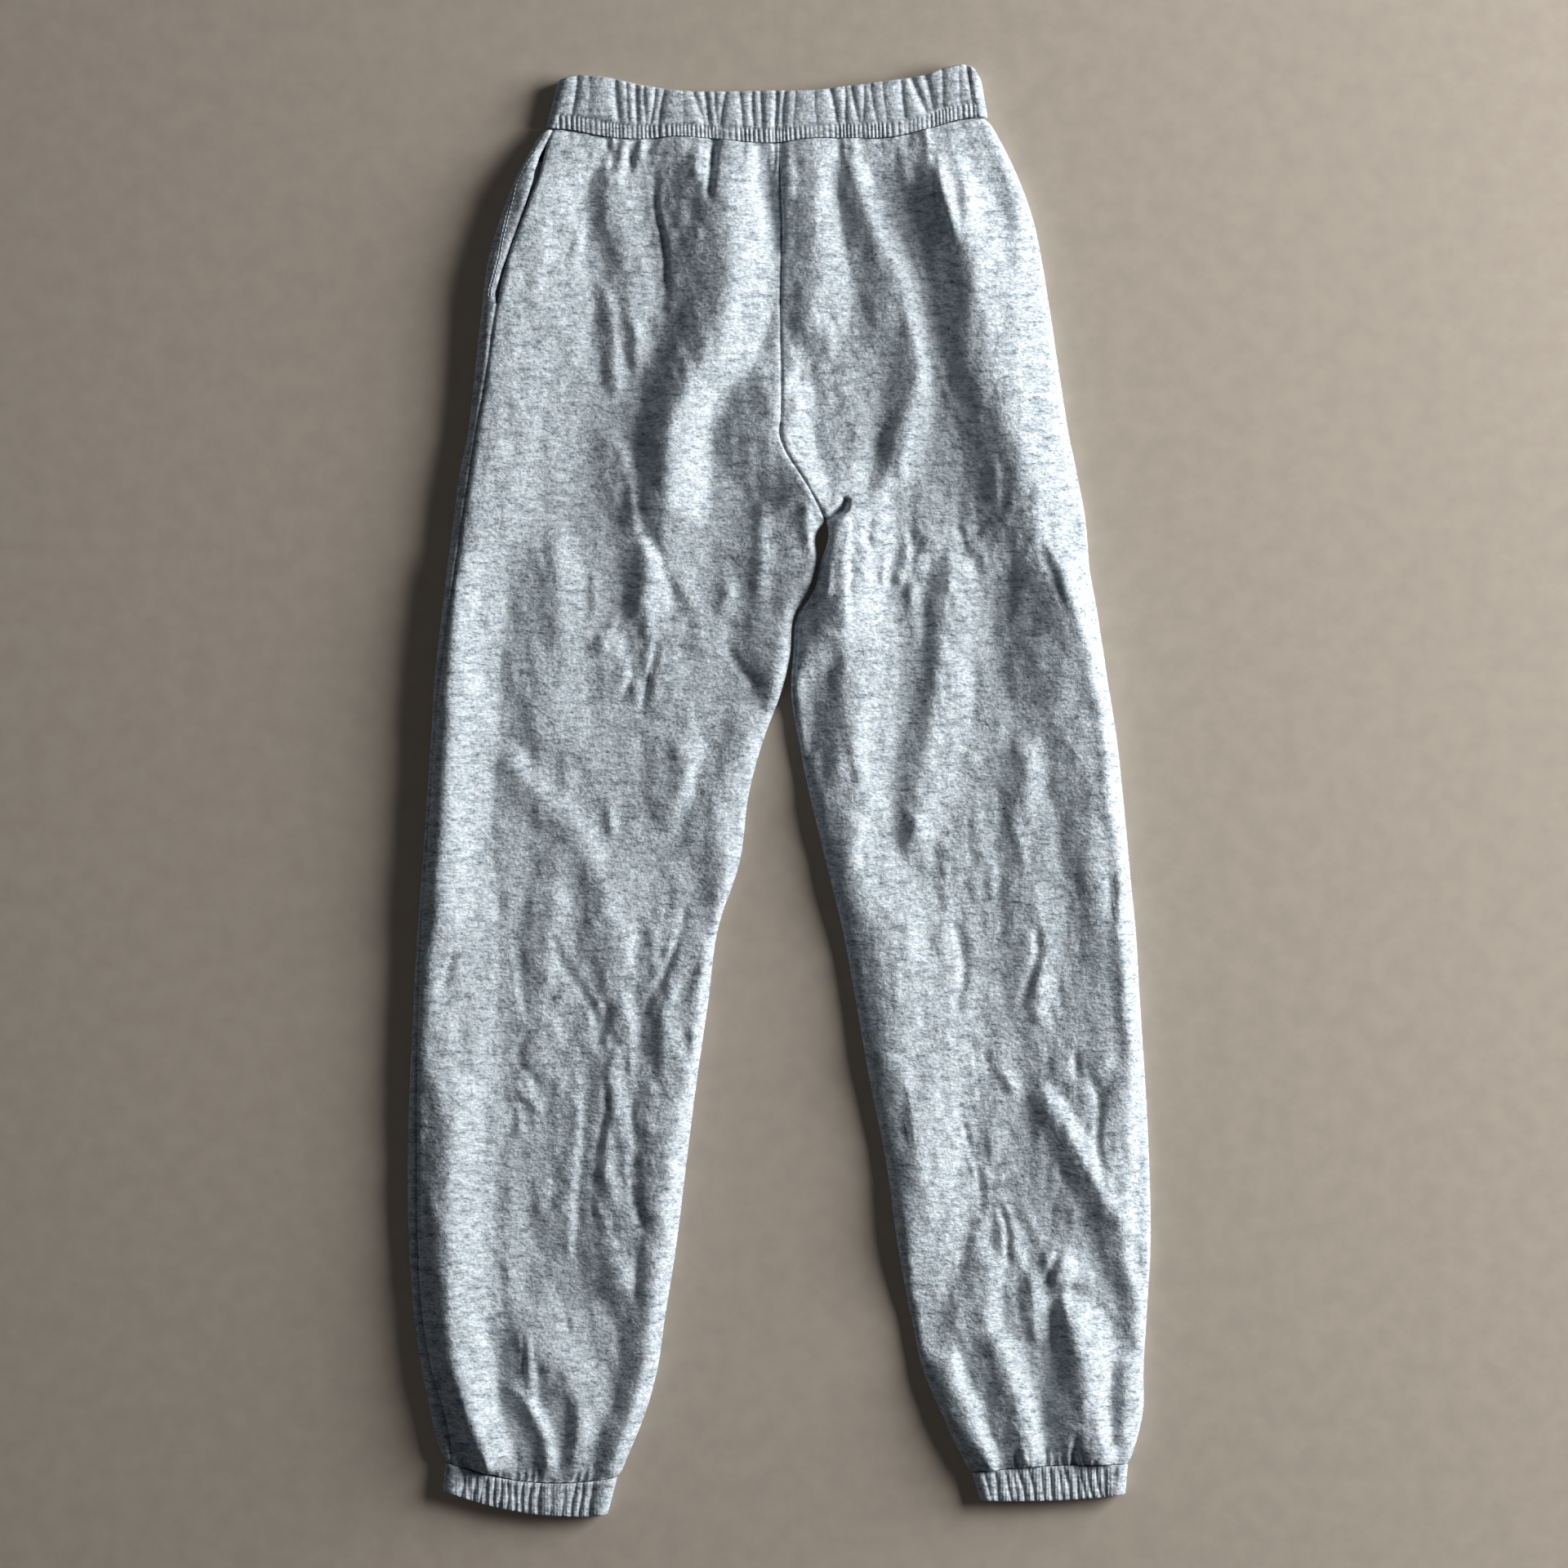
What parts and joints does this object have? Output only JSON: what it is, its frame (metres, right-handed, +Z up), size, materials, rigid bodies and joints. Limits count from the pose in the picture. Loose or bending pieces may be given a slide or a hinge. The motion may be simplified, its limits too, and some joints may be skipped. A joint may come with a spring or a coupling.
{
  "type": "jogger sweatpants",
  "caption": "Grey melange fleece jogger sweatpants laid flat, back side up, with a gathered elastic waistband, gathered ankle cuffs, side seams and a left side pocket.",
  "frame": {"origin": "centre of the bounding box's footprint, on the surface that the garment lies on", "axes": "+Z up out of the surface, +Y along the garment from the ankle cuffs to the waistband, +X to the right as seen from above"},
  "size_m": [0.5223, 1.0198, 0.0236],
  "materials": {
    "back_left": "brushed grey melange fleece, back panel",
    "back_right": "brushed grey melange fleece, back panel",
    "front_left": "brushed grey melange fleece, front panel",
    "front_right": "brushed grey melange fleece, front panel",
    "waistband": "gathered fleece casing over elastic",
    "cuff_left": "gathered fleece cuff over elastic",
    "cuff_right": "gathered fleece cuff over elastic",
    "pocket_bag_left": "thin jersey of the pocket bag"
  },
  "bodies": {
    "root": {"back_left": "back_left", "back_right": "back_right", "front_left": "front_left", "front_right": "front_right", "waistband": "waistband", "cuff_left": "cuff_left", "cuff_right": "cuff_right", "pocket_bag_left": "pocket_bag_left"}
  },
  "joints": []
}
